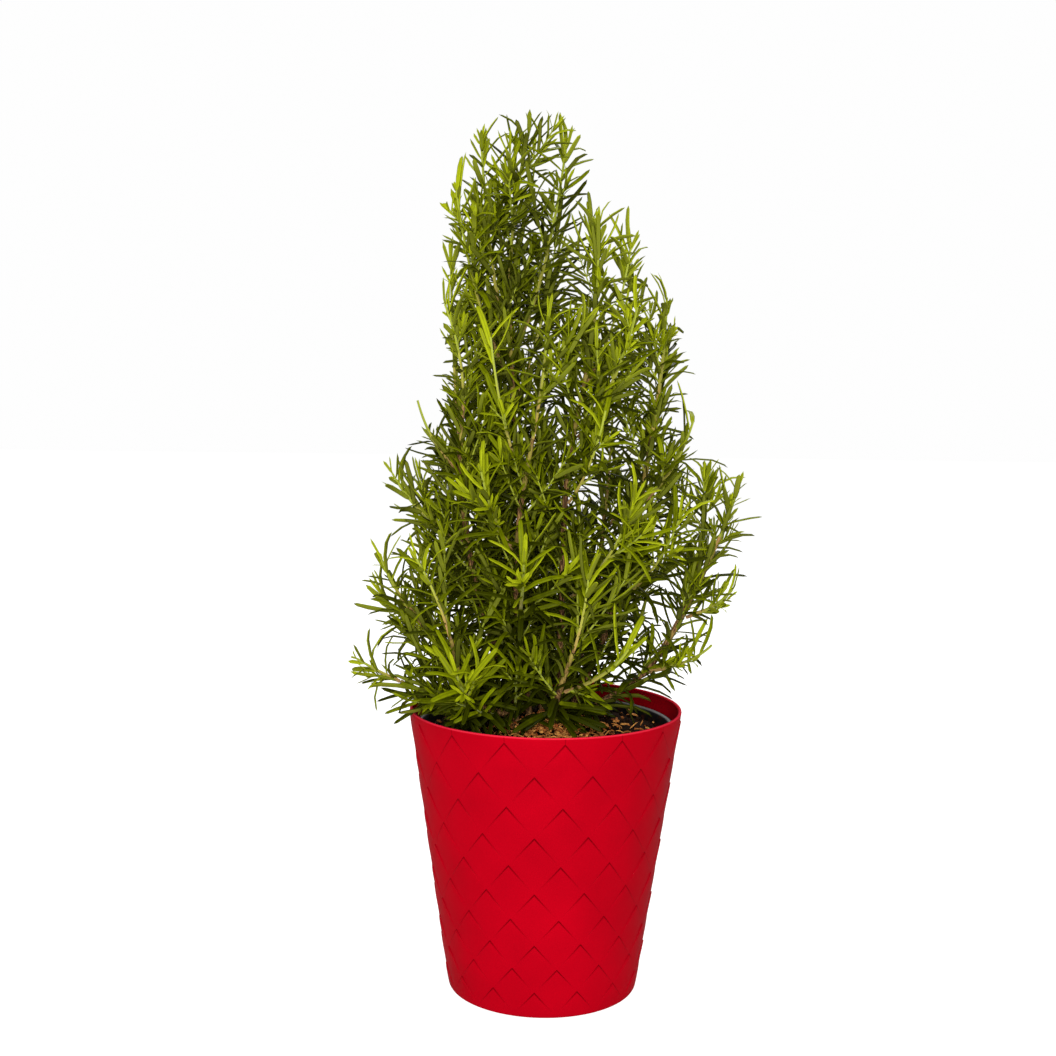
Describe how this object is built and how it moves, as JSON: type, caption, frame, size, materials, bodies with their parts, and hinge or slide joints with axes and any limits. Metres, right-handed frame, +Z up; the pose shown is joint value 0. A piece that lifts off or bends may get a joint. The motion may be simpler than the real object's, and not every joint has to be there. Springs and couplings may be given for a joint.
{
  "type": "potted rosemary plant",
  "caption": "Upright cone-shaped rosemary shrub with needle leaves, in a black nursery pot with soil, inside a tapered red plastic cover pot with a diamond scale relief.",
  "frame": {"origin": "centre of the cover pot's flat underside, on the surface that it stands on", "axes": "+Z up along the pot's axis; -Y is the front, and +X is to the right seen from the front"},
  "size_m": [0.2569, 0.2165, 0.5236],
  "materials": {
    "pot_plastic": "satin",
    "liner_plastic": "satin",
    "soil": "matte",
    "coir": "matte",
    "bark": "matte",
    "leaf": "satin"
  },
  "bodies": {
    "root": {"cover_pot": "pot_plastic", "nursery_pot": "liner_plastic", "potting_soil": "soil", "coir_chips": "coir", "stem_back_left": "bark", "stem_back_right": "bark", "stem_far_right": "bark", "stem_front": "bark", "stem_front_left": "bark", "stem_leader": "bark", "stem_left": "bark", "stem_low_back": "bark", "stem_low_front": "bark", "stem_low_front_left": "bark", "stem_low_left": "bark", "stem_lowest_left": "bark", "stem_right": "bark", "shoot_01": "leaf", "shoot_02": "leaf", "shoot_03": "leaf", "shoot_04": "leaf", "shoot_05": "leaf", "shoot_06": "leaf", "shoot_07": "leaf", "shoot_08": "leaf", "shoot_09": "leaf", "shoot_10": "leaf", "shoot_11": "leaf", "shoot_12": "leaf", "shoot_13": "leaf", "shoot_14": "leaf", "shoot_15": "leaf", "shoot_16": "leaf", "shoot_17": "leaf", "shoot_18": "leaf", "shoot_19": "leaf", "shoot_20": "leaf", "shoot_21": "leaf", "shoot_22": "leaf", "shoot_23": "leaf", "shoot_24": "leaf", "shoot_25": "leaf", "shoot_26": "leaf", "shoot_27": "leaf", "shoot_28": "leaf", "shoot_29": "leaf", "shoot_30": "leaf", "shoot_31": "leaf", "shoot_32": "leaf", "shoot_33": "leaf", "shoot_34": "leaf", "shoot_35": "leaf", "shoot_36": "leaf", "shoot_37": "leaf", "shoot_38": "leaf", "shoot_39": "leaf", "shoot_40": "leaf", "shoot_41": "leaf", "shoot_42": "leaf", "shoot_43": "leaf"}
  },
  "joints": []
}
